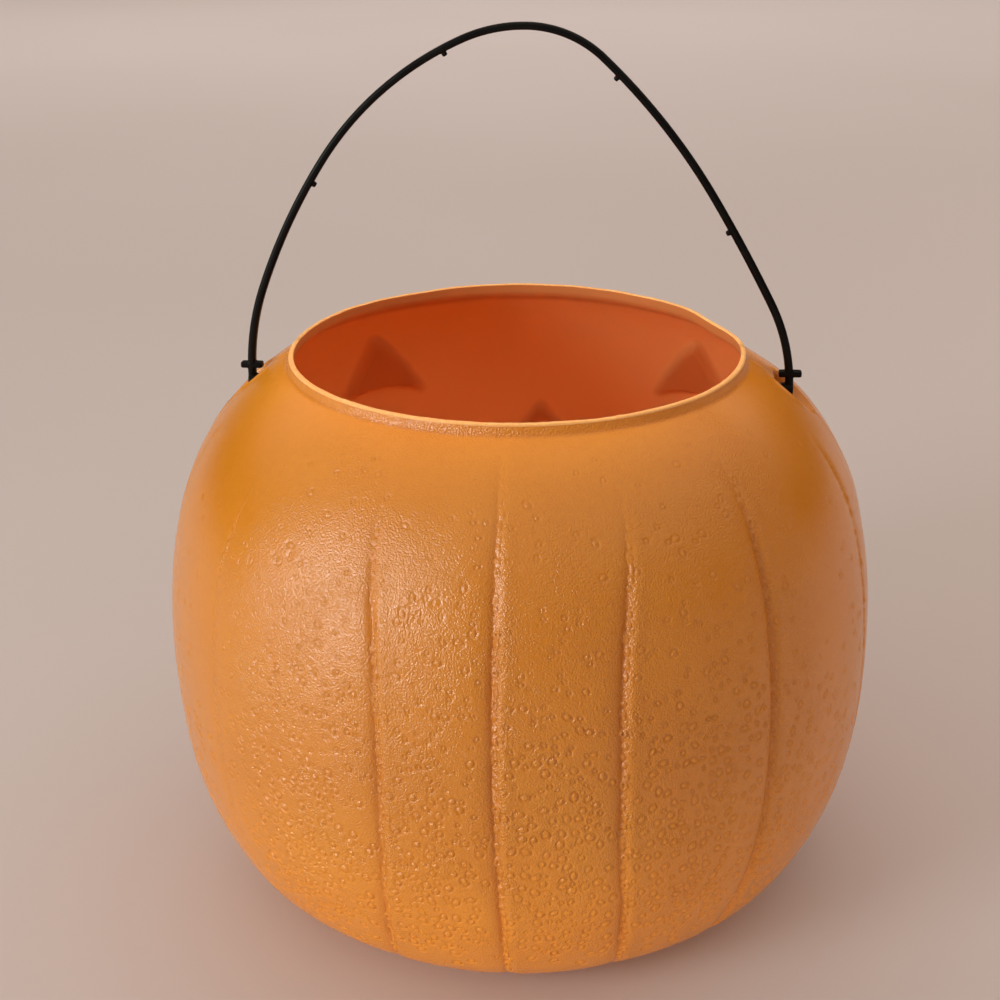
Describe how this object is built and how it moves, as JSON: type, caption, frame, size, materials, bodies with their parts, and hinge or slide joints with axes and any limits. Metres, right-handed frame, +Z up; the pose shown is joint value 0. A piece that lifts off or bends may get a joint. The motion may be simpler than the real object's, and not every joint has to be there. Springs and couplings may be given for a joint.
{
  "type": "pumpkin candy pail",
  "caption": "Round pumpkin-shaped plastic pail with an open mouth, a carved painted face and a thin black bail handle that swings on pegs in two shoulder pockets.",
  "frame": {"origin": "middle of the base, on the surface that the pail stands on", "axes": "+Z up through the mouth, the carved face looks along -Y, the handle pivots about X"},
  "size_m": [0.2538, 0.2538, 0.3051],
  "materials": {
    "orange_plastic": "blow-moulded polyethylene, satin, pebbled outside and smooth inside",
    "black_paint": "sprayed satin black paint",
    "black_plastic": "injection-moulded satin black"
  },
  "bodies": {
    "pail": {"pail_shell": "orange_plastic", "left_eye_paint": "black_paint", "right_eye_paint": "black_paint", "nose_paint": "black_paint", "mouth_paint": "black_paint"},
    "bail": {"handle": "black_plastic"}
  },
  "joints": [
    {"name": "handle_swing", "type": "hinge", "parent": "pail", "child": "bail", "pos_m": [0, 0, 0.183], "axis": [1, 0, 0], "range_deg": [-60, 60]}
  ]
}
